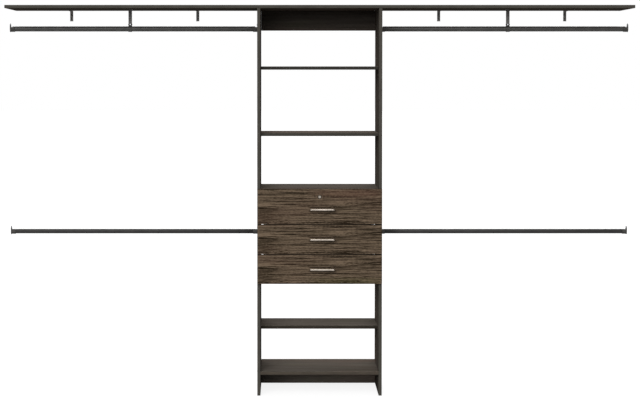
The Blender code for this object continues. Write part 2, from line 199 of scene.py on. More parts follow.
# %% [markdown]
# The floor is one large disc, so wide that its rim is never seen. Most of its white is a glow, so
# that it melts into the background, and the rest is a surface that still takes the object's
# shadow. To soft light it is a dull grey, which keeps the boards' undersides dark.

# %% Floor
FLOOR_RADIUS, FLOOR_SIDES, FLOOR_LEVEL = 60, 96, -0.0003
FLOOR_GLOW, FLOOR_WHITE, FLOOR_DULL = 0.86, 0.25, 0.20

bpy.ops.object.select_all(action="DESELECT")
bpy.ops.mesh.primitive_circle_add(
    vertices=FLOOR_SIDES, radius=FLOOR_RADIUS, fill_type="NGON", location=(0, 0, FLOOR_LEVEL))
floor = bpy.context.active_object
floor.name = "floor"
floor_finish = bpy.data.materials.new("white studio floor")
floor_finish.use_nodes = True
tree = floor_finish.node_tree
tree.nodes.clear()
dull = add_node(tree, "BsdfDiffuse", {"Color": (FLOOR_DULL, FLOOR_DULL, FLOOR_DULL, 1)})
shaded = add_node(tree, "BsdfDiffuse", {"Color": (FLOOR_WHITE, FLOOR_WHITE, FLOOR_WHITE, 1)})
glow = add_node(tree, "Emission", {"Color": WHITE, "Strength": FLOOR_GLOW})
white = add_node(tree, "AddShader", {0: shaded.outputs[0], 1: glow.outputs[0]})
chosen = add_node(tree, "MixShader", {0: seen_directly(tree), 1: dull.outputs[0], 2: white.outputs[0]})
add_node(tree, "OutputMaterial", {"Surface": chosen.outputs[0]})
floor.data.materials.append(floor_finish)
print("floor of", FLOOR_RADIUS, "m radius")

# %% [markdown]
# Wood and wood print share one effect: long thin streaks over broader bands, and fine pores that
# run the same way. Noise that is stretched along the grain gives all three, in a node group that
# each board finish uses with its own line length and height.

# %% Grain group
BAND_STRETCH, PORE_STRETCH = (0.45, 0.16, 0.16), (4.0, 11.0, 11.0)


def new_group(name, sizes, outputs):
    """A node group with a vector, named sizes with their start values, and named outputs."""
    group = bpy.data.node_groups.new(name, "ShaderNodeTree")
    group.interface.new_socket("Vector", in_out="INPUT", socket_type="NodeSocketVector")
    for label, start in sizes.items():
        socket = group.interface.new_socket(label, in_out="INPUT", socket_type="NodeSocketFloat")
        socket.default_value = start
    for label in outputs:
        group.interface.new_socket(label, in_out="OUTPUT", socket_type="NodeSocketFloat")
    return group, group.nodes.new("NodeGroupInput").outputs, group.nodes.new("NodeGroupOutput").inputs


def use_group(tree, group, vector, *sizes):
    """Place a node group, with its vector and its sizes, and return its outputs."""
    return add_node(tree, "Group", dict(enumerate((vector, *sizes))), node_tree=group).outputs


grain_group, given, result = new_group(
    "wood grain", {"Line Length": 0.3, "Line Height": 0.01}, ["Streaks", "Bands", "Pores"])
size = combine(grain_group, given["Line Length"], given["Line Height"], given["Line Height"])
along = vector_math(grain_group, "DIVIDE", given["Vector"], size)
streaks = noise(grain_group, along, 1.0, detail=5.0, roughness=0.6)
bands = noise(grain_group, vector_math(grain_group, "MULTIPLY", along, BAND_STRETCH), 1.0)
pores = noise(grain_group, vector_math(grain_group, "MULTIPLY", along, PORE_STRETCH), 1.0, roughness=0.6)
set_inputs(grain_group, result, {
    "Streaks": stretch(grain_group, streaks, 0.33, 0.67),
    "Bands": stretch(grain_group, bands, 0.3, 0.7),
    "Pores": stretch(grain_group, pores, 0.56, 0.72),
})
print("group:", grain_group.name)

# %% [markdown]
# Moulded plastic, powder coat, nylon and hardboard all have a fine, even grain that catches the
# light, and a slow change of tone over a hand's width. One group gives both, for any grain size.

# %% Speckle group
TONE_SCALE = 14.0

speckle_group, given, result = new_group("fine speckle", {"Grain Size": 0.001}, ["Grain", "Tone"])
per_metre = calculate(speckle_group, "DIVIDE", 1.0, given["Grain Size"])
tone = noise(speckle_group, given["Vector"], TONE_SCALE, detail=3.0)
set_inputs(speckle_group, result, {
    "Grain": noise(speckle_group, given["Vector"], per_metre),
    "Tone": stretch(speckle_group, tone, 0.3, 0.7),
})
print("group:", speckle_group.name)

# %% [markdown]
# Brushed and drawn metal shows hair lines along one direction. They are noise that is stretched
# a hundredfold, and they change the roughness and the height a little. A slow cloud comes with
# them, and both together set the tone.

# %% Hair line group
HAIR_STRETCH, CLOUD_SCALE = (0.01, 1.0, 1.0), 25.0

hairline_group, given, result = new_group("hair lines", {"Line Height": 0.0004}, ["Lines", "Cloud"])
per_metre = calculate(hairline_group, "DIVIDE", 1.0, given["Line Height"])
thin = vector_math(hairline_group, "MULTIPLY", given["Vector"], HAIR_STRETCH)
set_inputs(hairline_group, result, {
    "Lines": noise(hairline_group, thin, per_metre, detail=1.0),
    "Cloud": stretch(hairline_group, noise(hairline_group, given["Vector"], CLOUD_SCALE), 0.3, 0.7),
})
print("group:", hairline_group.name)

# %% [markdown]
# A finish starts as a Principled shader with its fixed values on the shader itself. Its pattern
# reads the Object coordinates, which are metres in the frame here, so one network is in scale on
# every piece. Turning the coordinates lets the same grain run upright on the tower's sides.

# %% Start of a finish
def new_finish(name, metallic=0.0, specular=0.5):
    """A material with a Principled shader, and its Object coordinates."""
    material = bpy.data.materials.new(name)
    material.use_nodes = True
    tree = material.node_tree
    shader = tree.nodes["Principled BSDF"].inputs
    shader["Metallic"].default_value = metallic
    shader["Specular IOR Level"].default_value = specular
    return material, tree, shader, add_node(tree, "TexCoord").outputs["Object"]


def feed(tree, shader, colour, roughness, height, depth):
    """Connect a colour, a roughness and a bump height in metres."""
    bump = add_node(tree, "Bump", {"Height": height, "Distance": depth, "Strength": 1.0})
    set_inputs(tree, shader, {"Base Color": colour, "Roughness": roughness, "Normal": bump.outputs[0]})


def list_finishes(*finishes):
    """Print what a cell made."""
    print("finishes:", " | ".join(finish.name for finish in finishes))


print("finishes start from a Principled shader")

# %% [markdown]
# The tower and the top shelf are chipboard with a dark, grey-brown printed foil. Its streaks are
# faint, with a reddish and an olive cast in places, and its surface is nearly matt. Shelves have the
# grain along their length, and the tower's sides have it upright. In the photograph the sides are a
# little darker than the shelves, and the rail under the top shelf is much darker. Both are painted
# darker here, as painted shade for the light that reaches them less.

# %% Dark board
BOARD_DARK, BOARD_LIGHT, BOARD_PORE = (0.084, 0.072, 0.061), (0.138, 0.120, 0.103), (0.03, 0.024, 0.02)
BOARD_RED, BOARD_OLIVE = (0.140, 0.098, 0.078), (0.106, 0.103, 0.074)
# The sides and the rail under the top shelf are painted darker than the shelves: painted shade.
SIDE_SHADE, RAIL_SHADE = 0.85, 0.55
BOARD_PORE_DEPTH = 0.00012
NO_TURN, UPRIGHT = (0, 0, 0), (0, math.radians(90), 0)


def board_finish(name, turn, tone=1.0):
    """Printed board with faint streaks along X after the coordinates are turned."""
    material, tree, shader, place = new_finish(name, specular=0.0)
    place = add_node(tree, "Mapping", {"Vector": place, "Rotation": turn}).outputs[0]
    fine = use_group(tree, grain_group, place, 0.42, 0.013)
    casts = use_group(tree, grain_group, place, 0.30, 0.035)
    colour = blend_colours(tree, fine["Streaks"], BOARD_DARK, BOARD_LIGHT)
    for share, cast in (
        (stretch(tree, casts["Bands"], 0.45, 1.0, 0, 0.55), BOARD_RED),
        (stretch(tree, casts["Streaks"], 0.62, 1.0, 0, 0.5), BOARD_OLIVE),
        (stretch(tree, fine["Pores"], 0.0, 1.0, 0, 0.35), BOARD_PORE),
    ):
        colour = blend_colours(tree, share, colour, cast)
    # A tone below 1 darkens the whole board, as painted shade.
    colour = vector_math(tree, "MULTIPLY", colour, (tone, tone, tone))
    roughness = stretch(tree, fine["Streaks"], 0, 1, 0.74, 0.84)
    feed(tree, shader, colour, roughness, fine["Pores"], -BOARD_PORE_DEPTH)
    return material


lying_board = board_finish("dark board, grain across", NO_TURN)
upright_board = board_finish("dark board, grain upright", UPRIGHT, SIDE_SHADE)
shaded_rail_board = board_finish("rail board, painted shade", NO_TURN, RAIL_SHADE)
list_finishes(lying_board, upright_board, shaded_rail_board)

# %% [markdown]
# The drawer fronts have a livelier print: long, thin, nearly black and pale lines that run across,
# short dark dashes and flecks, and reddish and olive patches. In the photograph each front shows
# the same stretch of print, counted from its lower edge. So the height is counted from there too,
# and the depth is left out: it is one repeated sheet, and the taller top front shows more of it.

# %% Drawer wood: one sheet for each front
TOP_FRONT_NUMBER = 2.0
PRINT_SLICE = 0.4
front_low, front_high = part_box("drawer_3_front")
PRINT_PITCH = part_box("drawer_2_front")[0].z - front_low.z
PRINT_START = front_low.z - (PRINT_PITCH - (front_high.z - front_low.z)) / 2

drawer_wood, tree, shader, place = new_finish("streaked drawer wood", specular=0.0)
parts = add_node(tree, "SeparateXYZ", {0: place}).outputs
above = calculate(tree, "SUBTRACT", parts["Z"], PRINT_START)
front_number = calculate(tree, "FLOOR", calculate(tree, "DIVIDE", above, PRINT_PITCH))
front_number = calculate(tree, "MINIMUM", front_number, TOP_FRONT_NUMBER)
rise = calculate(tree, "SUBTRACT", above, calculate(tree, "MULTIPLY", front_number, PRINT_PITCH))
sheet = combine(tree, parts["X"], PRINT_SLICE, rise)
print(drawer_wood.name, "repeats every", round(PRINT_PITCH, 4), "m from", round(PRINT_START, 4))

# %% [markdown]
# Four grains of falling line length are laid over each other, as in a veneer where the year rings,
# the thin lines and the pores are all seen. All of them follow a slow wave. Where the wood is
# figured, as along each front's lower edge, an up and down shake breaks the finer ones into zigzags.

# %% Drawer wood: wave, figure and grains
WAVE, SHAKE = 0.0018, 0.0022
WAVE_SCALE, FIGURE_SCALE, SHAKE_SCALE = (2.5, 1.0, 7.0), (5.0, 1.0, 26.0), (62.0, 1.0, 30.0)
LOW_BAND = (0.010, 0.006, 0.006)


def sheet_noise(scale, detail):
    """Noise over the print's sheet, with its own scale across and up."""
    return noise(tree, vector_math(tree, "MULTIPLY", sheet, scale), 1.0, detail=detail)


def raised(vector, height):
    """Coordinates moved up by a height that changes over the sheet."""
    return vector_math(tree, "ADD", vector, combine(tree, z=height))


bent = raised(sheet, stretch(tree, sheet_noise(WAVE_SCALE, 2.0), 0.3, 0.7, -WAVE, WAVE))
low_band = near(tree, rise, *LOW_BAND)
figure = stretch(tree, sheet_noise(FIGURE_SCALE, 1.0), 0.50, 0.68)
figure = calculate(tree, "MAXIMUM", figure, low_band)
shake = stretch(tree, sheet_noise(SHAKE_SCALE, 3.0), 0.3, 0.7, -SHAKE, SHAKE)
figured = raised(bent, calculate(tree, "MULTIPLY", shake, figure))

broad = use_group(tree, grain_group, bent, 0.30, 0.016)
lines = use_group(tree, grain_group, figured, 0.19, 0.0054)
dashes = use_group(tree, grain_group, figured, 0.034, 0.0046)
flecks = use_group(tree, grain_group, figured, 0.013, 0.0042)
print("grains: broad, lines, dashes and flecks")

# %% [markdown]
# The colour is built from the ground up: lines between nearly black and pale, and over them one
# layer after the other, each with its share and its colour. Besides the grains there are the
# reddish and olive patches. A dark line just above each handle is painted shade, and a weaker patch
# under it is the handle's painted shadow. The fronts' narrow sides, which show as the lines between
# the drawers, are nearly black: a plain dark strip with painted shade of the gaps on top of it.

# %% Drawer wood: colours
LINE_DARK, LINE_PALE = (0.013, 0.009, 0.005), (0.179, 0.130, 0.088)
CAST_SCALE = (2.4, 1.0, 9.0)
RED_PATCH = ((0.972, 0.007, 0.014), (0.13, 0.10, 0.10))
OLIVE_PATCH = ((0.550, 0.008, 0.016), (0.13, 0.10, 0.10))
# A dark line just above each handle is painted shade, and a weaker patch under it a painted shadow.
SHADE_OVER_HANDLE = ((0.0808, 0.0019, 0.0014), (0.013, 0.056, 0.010))
SHADOW_UNDER_HANDLE = ((0.0625, 0.0035, 0.005), (0.012, 0.045, 0.03))
GAP_SHADE_MARGIN, GAP_SHADE_FADE = 0.0004, 0.0002
LINE_DEPTH = 0.0002


def patch(height, up, across, strength):
    """A soft-edged patch. Up and across are its (middle, half, fade) in height and along X."""
    inside = calculate(tree, "MULTIPLY", near(tree, parts["X"], *across), near(tree, height, *up))
    return calculate(tree, "MULTIPLY", inside, strength)


casts = noise(tree, vector_math(tree, "MULTIPLY", place, CAST_SCALE), 1.0)
# The handles' painted shade above and painted shadow below.
handle_shade = calculate(tree, "MAXIMUM", patch(rise, *SHADE_OVER_HANDLE, 0.9), patch(rise, *SHADOW_UNDER_HANDLE, 0.4))
dash_share = calculate(tree, "MAXIMUM", stretch(tree, figure, 0.0, 1.0, 0.25, 0.6), low_band)
dash_share = calculate(tree, "MULTIPLY", stretch(tree, dashes["Streaks"], 0.45, 0.12), dash_share)
fleck_share = stretch(tree, figure, 0.0, 1.0, 0.38, 0.7)
fleck_share = calculate(tree, "MULTIPLY", stretch(tree, flecks["Streaks"], 0.42, 0.12), fleck_share)
# The fronts' narrow sides are nearly black: edge strip plus painted shade of the gaps between drawers.
half_depth = (front_high.y - front_low.y) / 2 - GAP_SHADE_MARGIN
gap_shade = near(tree, parts["Y"], (front_low.y + front_high.y) / 2, half_depth, GAP_SHADE_FADE)

colour = blend_colours(tree, stretch(tree, lines["Streaks"], 0.22, 0.79), LINE_DARK, LINE_PALE)
for share, tint in (
    (stretch(tree, broad["Streaks"], 0.55, 0.1, 0, 0.22), (0.036, 0.025, 0.016)),
    (patch(parts["Z"], *RED_PATCH, 0.30), (0.110, 0.050, 0.034)),
    (patch(parts["Z"], *OLIVE_PATCH, 0.38), (0.072, 0.070, 0.026)),
    (stretch(tree, casts, 0.50, 0.72, 0, 0.3), (0.110, 0.062, 0.045)),
    (handle_shade, (0.014, 0.010, 0.007)),
    (dash_share, (0.018, 0.012, 0.007)),
    (fleck_share, (0.022, 0.015, 0.009)),
    (stretch(tree, flecks["Streaks"], 0.60, 0.86, 0, 0.28), (0.200, 0.148, 0.102)),
    (stretch(tree, lines["Pores"], 0, 1, 0, 0.4), (0.014, 0.010, 0.006)),
    (stretch(tree, dashes["Pores"], 0, 1, 0, 0.55), (0.020, 0.014, 0.009)),
    (gap_shade, (0.014, 0.012, 0.010)),
):
    colour = blend_colours(tree, share, colour, tint)
feed(tree, shader, colour, stretch(tree, lines["Streaks"], 0, 1, 0.62, 0.46), lines["Streaks"], LINE_DEPTH)
list_finishes(drawer_wood)

# %% [markdown]
# The drawer boxes are made of a plainer grey-brown board, and their bottoms of hardboard, which
# is pressed from fibres. Both are seen only when a drawer is open. Each box board has its grain
# along its own length, which is from front to back on the sides.

# %% Drawer box finishes
BOX_DARK, BOX_LIGHT, BOX_PORE = (0.080, 0.067, 0.055), (0.124, 0.106, 0.088), (0.05, 0.04, 0.032)
BOX_PORE_DEPTH = 0.0001
FIBRE_DARK, FIBRE_LIGHT, FIBRE_CLOUD = (0.092, 0.064, 0.045), (0.17, 0.125, 0.09), (0.11, 0.085, 0.06)
FIBRE_SIZE, FIBRE_DEPTH = 0.0035, 0.0002
TO_THE_BACK = (0, 0, math.radians(90))


def box_finish(name, turn):
    """Plain grey-brown board with a faint grain along X after the coordinates are turned."""
    material, tree, shader, place = new_finish(name, specular=0.1)
    place = add_node(tree, "Mapping", {"Vector": place, "Rotation": turn}).outputs[0]
    fine = use_group(tree, grain_group, place, 0.20, 0.006)
    colour = blend_colours(tree, fine["Streaks"], BOX_DARK, BOX_LIGHT)
    colour = blend_colours(tree, stretch(tree, fine["Pores"], 0, 1, 0, 0.4), colour, BOX_PORE)
    roughness = stretch(tree, fine["Streaks"], 0, 1, 0.6, 0.72)
    feed(tree, shader, colour, roughness, fine["Pores"], -BOX_PORE_DEPTH)
    return material


box_board = box_finish("grey drawer board, grain across", NO_TURN)
box_side = box_finish("grey drawer board, grain to the back", TO_THE_BACK)

hardboard, tree, shader, place = new_finish("pressed hardboard", specular=0.1)
fibres = use_group(tree, speckle_group, place, FIBRE_SIZE)
colour = blend_colours(tree, stretch(tree, fibres["Grain"], 0.3, 0.7), FIBRE_DARK, FIBRE_LIGHT)
colour = blend_colours(tree, stretch(tree, fibres["Tone"], 0, 1, 0, 0.25), colour, FIBRE_CLOUD)
feed(tree, shader, colour, stretch(tree, fibres["Grain"], 0.3, 0.7, 0.6, 0.78), fibres["Grain"], FIBRE_DEPTH)
list_finishes(box_board, box_side, hardboard)

# %% [markdown]
# The handles are brushed nickel with a warm tint, and the lock's plug and collar are the same metal,
# worn on the one and blackened on the other. Runners, bolts and most screws are zinc plated, which
# is paler and a little blue. The rods have a dark satin coat, which is hardly metallic. In the
# photograph the lower ones look darker, so the lower pair is painted darker, a painted shade, and the
# upper pair lighter, a painted light, since the top shelf shades the upper ones from the lamp.

# %% Metal finishes
def metal_finish(name, dark, light, rough, line_height, line_depth, metallic=1.0, specular=0.5):
    """Metal with hair lines along X, between two tones and two roughnesses."""
    material, tree, shader, place = new_finish(name, metallic, specular)
    hair = use_group(tree, hairline_group, place, line_height)
    tone = calculate(tree, "MULTIPLY", hair["Lines"], hair["Cloud"])
    colour = blend_colours(tree, stretch(tree, tone, 0.1, 0.5), dark, light)
    feed(tree, shader, colour, stretch(tree, hair["Lines"], 0.3, 0.7, *rough), hair["Lines"], line_depth)
    return material


WORN = {"rough": (0.34, 0.5), "line_height": 0.0004, "line_depth": 0.00002}
SATIN = {"rough": (0.4, 0.52), "line_height": 0.0008, "line_depth": 0.000015, "metallic": 0.05}
nickel = metal_finish(
    "brushed nickel", (0.215, 0.188, 0.160), (0.30, 0.264, 0.228), (0.26, 0.42), 0.0005, 0.00002)
worn_nickel = metal_finish("worn nickel", (0.15, 0.131, 0.110), (0.23, 0.202, 0.172), **WORN)
black_nickel = metal_finish("black nickel", (0.022, 0.019, 0.016), (0.040, 0.035, 0.030), **WORN)
zinc = metal_finish(
    "zinc plated steel", (0.40, 0.41, 0.43), (0.60, 0.61, 0.63), (0.28, 0.42), 0.0015, 0.00001)
# The upper rods' coat is painted lighter, a painted light, and the lower rods' darker, a painted shade.
lightened_upper_tube = metal_finish(
    "satin tube, painted light", (0.050, 0.049, 0.047), (0.068, 0.066, 0.063), **SATIN, specular=0.22)
darkened_lower_tube = metal_finish(
    "satin tube, painted shade", (0.015, 0.0145, 0.014), (0.023, 0.022, 0.021), **SATIN, specular=0.20)
list_finishes(nickel, worn_nickel, black_nickel, zinc, lightened_upper_tube, darkened_lower_tube)

# %% [markdown]
# Hangers and brackets are powder coated steel with the slight orange peel of baked powder. The
# brackets' coat is paler, a painted light, since the top shelf shades them from the lamp. A hanger's
# loop is painted darker, a painted shade, since it hangs below the shelf's shadow where the lamp
# reaches it. The rod ends are moulded plastic with a matt grain, and the wheels are white nylon.

# %% Coated and moulded finishes
# Below this level, just above the rod, a hanger's coat is painted darker: painted shade on the loop.
LOOP_SHADE_ABOVE_ROD, LOOP_SHADE_FADE = 0.0075, 0.001
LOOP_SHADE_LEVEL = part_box("upper_rod_left")[1].z + LOOP_SHADE_ABOVE_ROD


def grainy_finish(name, dark, light, rough, grain_size, depth, specular=0.2, loop_shade=None):
    """An even grainy surface between two tones. With a loop shade, what lies below its level takes its darker
    colour as painted shade.
    """
    material, tree, shader, place = new_finish(name, specular=specular)
    speckle = use_group(tree, speckle_group, place, grain_size)
    colour = blend_colours(tree, speckle["Tone"], dark, light)
    if loop_shade:
        height = add_node(tree, "SeparateXYZ", {0: place}).outputs["Z"]
        loop_shade_share = stretch(tree, height, LOOP_SHADE_LEVEL + LOOP_SHADE_FADE, LOOP_SHADE_LEVEL - LOOP_SHADE_FADE)
        colour = blend_colours(tree, loop_shade_share, colour, loop_shade)
    feed(tree, shader, colour, stretch(tree, speckle["Grain"], 0.3, 0.7, *rough), speckle["Grain"], depth)
    return material


POWDER = {"rough": (0.44, 0.58), "grain_size": 0.0012, "depth": 0.00005}
# The hanger's darker loop colour is painted shade.
hanger_steel = grainy_finish(
    "dark powder coat, loop in painted shade", (0.156, 0.150, 0.144), (0.192, 0.186, 0.178), **POWDER,
    loop_shade=(0.055, 0.053, 0.050))
dark_steel = grainy_finish("dark powder coat", (0.155, 0.150, 0.143), (0.195, 0.188, 0.180), **POWDER)
# The brackets' paler coat is painted light, for the top shelf's shadow over them.
lightened_bracket_coat = grainy_finish("bracket powder coat, painted light", (0.30, 0.292, 0.28), (0.36, 0.35, 0.336), **POWDER)
dark_plastic = grainy_finish(
    "dark moulded plastic", (0.046, 0.044, 0.041), (0.058, 0.056, 0.053), (0.5, 0.64), 0.0006, 0.00004,
    specular=0.15)
nylon = grainy_finish(
    "white nylon", (0.62, 0.61, 0.57), (0.72, 0.71, 0.68), (0.35, 0.45), 0.0008, 0.00002, specular=0.4)
list_finishes(hanger_steel, dark_steel, lightened_bracket_coat, dark_plastic, nylon)

# %% [markdown]
# The front edges are covered with a plain plastic strip. It has no print, only a very fine moulded
# grain. Its colour is darker than the faces', a painted shade that offsets the front lamp it looks
# straight at. In the photograph its tone changes from shelf to shelf, and each tower shelf's strip is
# painted to match, as painted shade for the light that reaches its front: it is darkest on the lower
# and the upper one, in between on the middle one, and a little redder on the base.

# %% Edge strip finishes
STRIP_LOOK = {"rough": (0.42, 0.55), "grain_size": 0.0009, "depth": 0.00004, "specular": 0.03}
# Each tower shelf's strip tone is painted shade for the light that reaches its front.
SHELF_EDGE_SHADES = {
    "base_shelf": ((0.052, 0.043, 0.034), (0.070, 0.058, 0.045)),
    "lower_shelf": ((0.024, 0.020, 0.015), (0.033, 0.028, 0.022)),
    "middle_shelf": ((0.038, 0.035, 0.030), (0.050, 0.046, 0.039)),
    "upper_shelf": ((0.026, 0.024, 0.021), (0.034, 0.032, 0.028)),
}
# The darker strip colour is painted shade for the front lamp it faces.
edge_finish = grainy_finish("dark edge strip", (0.051, 0.047, 0.040), (0.067, 0.062, 0.053), **STRIP_LOOK)
shaded_shelf_edges = {node: grainy_finish(f"{node} edge strip", *tones, **STRIP_LOOK)
               for node, tones in SHELF_EDGE_SHADES.items()}
list_finishes(edge_finish, *shaded_shelf_edges.values())

# %% [markdown]
# Each solid of the frame keeps its shape and takes its finish by its name. Names with the same
# words belong to the same kind of piece, so a short table is enough, read from its first row on.
# What no row names is a lying board.

# %% Finishes on the frame's own pieces
FINISH_BY_NAME = (
    ("tower_side", upright_board), ("drawer_lock", nickel), ("rod_hanger", hanger_steel),
    ("wall_bracket", lightened_bracket_coat), ("_handle", nickel), ("_front", drawer_wood), ("_bottom", hardboard),
    ("_runner_", zinc), ("_side_", box_side), ("top_back_rail", shaded_rail_board), ("_back_rail", lying_board),
    ("_back", box_board), ("_end_", dark_plastic), ("_rod_", lightened_upper_tube),
)
for name, solid in sorted(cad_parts.items()):
    chosen = next((finish for part, finish in FINISH_BY_NAME if part in name), lying_board)
    solid.data.materials.clear()
    solid.data.materials.append(chosen)
print("finished", len(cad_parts), "pieces of the frame")

# %% [markdown]
# The hardware is modelled as by hand: a primitive at its size and place, pushed into shape in edit
# mode, and finished with modifiers. These helpers start such a piece with nothing else selected,
# pick faces or edges by their place, and close it with a small rounding of its sharp edges.

# %% Modelling helpers
SMOOTH_ANGLE = math.radians(35)
TOLERANCE = 0.00005
BOLT_CORNER, BOLT_CROWN, BOLT_EDGE = 0.0006, 0.0005, 0.0002


def at(value, target):
    """True where a measure is at its target."""
    return abs(value - target) < TOLERANCE


def begin(add, name, **where):
    """Add one primitive alone, put its place into its mesh, and open it in edit mode."""
    bpy.ops.object.select_all(action="DESELECT")
    add(**where)
    piece = bpy.context.active_object
    piece.name = piece.data.name = name
    bpy.ops.object.transform_apply(location=True, rotation=True, scale=True)
    bpy.ops.object.mode_set(mode="EDIT")
    return piece


def begin_block(name, centre, size):
    """Start a piece as a block."""
    return begin(bpy.ops.mesh.primitive_cube_add, name, size=1, location=centre, scale=size)


def pick(piece, kind, test):
    """In edit mode, select the faces or edges whose middle, and the item itself, pass a test."""
    bpy.ops.mesh.select_mode(type=kind)
    bpy.ops.mesh.select_all(action="DESELECT")
    shape = bmesh.from_edit_mesh(piece.data)
    for item in shape.faces if kind == "FACE" else shape.edges:
        middle = sum((corner.co for corner in item.verts), Vector()) / len(item.verts)
        if test(middle, item):
            item.select_set(True)
    bmesh.update_edit_mesh(piece.data)


def reach(edge, axis):
    """How far an edge reaches along an axis."""
    return abs(edge.verts[0].co[axis] - edge.verts[1].co[axis])


def push(x=0.0, y=0.0, z=0.0):
    """Extrude what is selected."""
    bpy.ops.mesh.extrude_region_move(TRANSFORM_OT_translate={"value": (x, y, z)})


def apply_modifier(piece, kind, **options):
    """Add one modifier to the piece, set it and apply it."""
    bpy.ops.object.select_all(action="DESELECT")
    piece.select_set(True)
    bpy.context.view_layer.objects.active = piece
    modifier = piece.modifiers.new(kind.lower(), kind)
    for name, value in options.items():
        setattr(modifier, name, value)
    bpy.ops.object.modifier_apply(modifier=modifier.name)


def round_edges(piece, width, steps=2):
    """Round the sharp edges of a piece."""
    apply_modifier(
        piece, "BEVEL", width=width, segments=steps, limit_method="ANGLE", angle_limit=SMOOTH_ANGLE)


def cut_away(piece, cutter):
    """Take one closed piece out of another."""
    apply_modifier(piece, "BOOLEAN", object=cutter, operation="DIFFERENCE", solver="EXACT")


def close(piece, rounding=0.0, steps=2):
    """Leave edit mode, round the sharp edges and shade smooth."""
    bpy.ops.mesh.select_all(action="SELECT")
    bpy.ops.mesh.normals_make_consistent(inside=False)
    bpy.ops.object.mode_set(mode="OBJECT")
    if rounding:
        round_edges(piece, rounding, steps)
    bpy.ops.object.shade_smooth_by_angle(angle=SMOOTH_ANGLE)
    return piece


def belongs(piece, body, material, slot, *replaced):
    """Give a finished piece its body and its finish, and hide the solid it stands for. Its slot is not used.
    """
    piece.data.materials.clear()
    piece.data.materials.append(material)
    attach(piece, body)
    if replaced:
        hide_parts(*replaced)
    return piece


def set_out(master, name, spots, body, material, slot, *replaced):
    """One piece made of copies of a part that was modelled along +Z. A spot is (place, facing, turn).

    A part that was modelled in its final direction has None for its facing.
    """
    shape = bmesh.new()
    for place, facing, turn in spots:
        copy = master.data.copy()
        aim = Vector(facing).to_track_quat("Z", "Y").to_matrix().to_4x4() if facing else Matrix.Identity(4)
        copy.transform(Matrix.Translation(place) @ aim @ Matrix.Rotation(turn, 4, "Z"))
        shape.from_mesh(copy)
        bpy.data.meshes.remove(copy)
    mesh = bpy.data.meshes.new(name)
    shape.to_mesh(mesh)
    shape.free()
    piece = bpy.data.objects.new(name, mesh)
    scene.collection.objects.link(piece)
    return belongs(piece, body, material, slot, *replaced)


def drop(*masters):
    """Remove parts that were only modelled to be copied."""
    for master in masters:
        bpy.data.objects.remove(master, do_unlink=True)


def turned_part(name, rings, sides):
    """A round part about +Z from (radius, height) rings: a filled circle that is extruded and scaled."""
    radius, height = rings[0]
    piece = begin(bpy.ops.mesh.primitive_circle_add, name, vertices=sides, radius=radius,
                  location=(0, 0, height), fill_type="NGON")
    for next_radius, next_height in rings[1:]:
        push(z=next_height - height)
        share = next_radius / radius
        bpy.ops.transform.resize(value=(share, share, 1), center_override=(0, 0, next_height))
        radius, height = next_radius, next_height
    return piece


def hexagon_bolt(name, radius, height):
    """A hexagon bolt's head, which sits on z = 0 and faces +Z."""
    rings = [(radius, 0), (radius, height), (radius - BOLT_CORNER, height + BOLT_CROWN)]
    return close(turned_part(name, rings, sides=6), BOLT_EDGE, 1)


print("modelling helpers ready")

# %% [markdown]
# A thin plastic strip covers the chipboard core on every front edge. It is ironed on and trimmed,
# so it stands a hair proud and its long corners are rounded. Each strip starts as a cube, and only
# the two long outer edges are bevelled.

# %% Edge strips
STRIP, STRIP_INSET, STRIP_ROUND = 0.0005, 0.0006, 0.0004
TOWER_SHELVES = ("base_shelf", "lower_shelf", "chest_top", "middle_shelf", "upper_shelf")
STRIP_BOARDS = (
    "tower_side_left", "tower_side_right", *TOWER_SHELVES, "top_shelf_left", "top_shelf_right")


def edge_strip(node):
    """A strip on the front edge of a board, with rounded long corners."""
    low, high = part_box(node)
    upright = node.startswith("tower_side")
    inset_x, inset_z = (STRIP_INSET, 0) if upright else (0, STRIP_INSET)
    size = (high.x - low.x - 2 * inset_x, STRIP, high.z - low.z - 2 * inset_z)
    centre = ((low.x + high.x) / 2, low.y - STRIP / 2, (low.z + high.z) / 2)
    strip = begin_block(f"{node}_edge_strip", centre, size)
    axis = 2 if upright else 0
    pick(strip, "EDGE", lambda middle, edge: (
        at(middle.y, low.y - STRIP) and at(reach(edge, axis), size[axis])))
    bpy.ops.mesh.bevel(offset=STRIP_ROUND, segments=3)
    belongs(close(strip), "frame", shaded_shelf_edges.get(node, edge_finish), "dark_board")


for node in STRIP_BOARDS:
    edge_strip(node)
print("edge strips:", len(STRIP_BOARDS))

# %% [markdown]
# The hanging rods are drawn steel tubes, the upper ones thicker than the lower ones. A turned
# cylinder without ends gets its wall from Solidify, and the cut edges are broken with a small
# bevel, as a deburring tool leaves them.

# %% Hanging rods
TUBE_SIDES = 64
TUBE_WALL, TUBE_EDGE = 0.0012, 0.0003
TUBES = {"lower": darkened_lower_tube, "upper": lightened_upper_tube}

for level, finish in TUBES.items():
    for side in ("left", "right"):
        name = f"{level}_rod_{side}"
        low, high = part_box(name)
        tube = begin(bpy.ops.mesh.primitive_cylinder_add, f"{name}_tube", vertices=TUBE_SIDES,
                     radius=(high.z - low.z) / 2, depth=high.x - low.x, end_fill_type="NOTHING",
                     location=(low + high) / 2, rotation=(0, math.pi / 2, 0))
        bpy.ops.object.mode_set(mode="OBJECT")
        apply_modifier(tube, "SOLIDIFY", thickness=TUBE_WALL, offset=-1)
        round_edges(tube, TUBE_EDGE)
        bpy.ops.object.shade_smooth_by_angle(angle=SMOOTH_ANGLE)
        belongs(tube, "frame", finish, "dark_tube", name)
print("tubes: two on each of", list(TUBES))

# %% [markdown]
# Each handle is one flat bar that is bent back at both ends and screwed on from inside the drawer.
# It is modelled once, on the top drawer: a bar is cut in two places, its ends are pushed back to the
# drawer's front as legs, and the corners are bevelled to the bend of the metal.

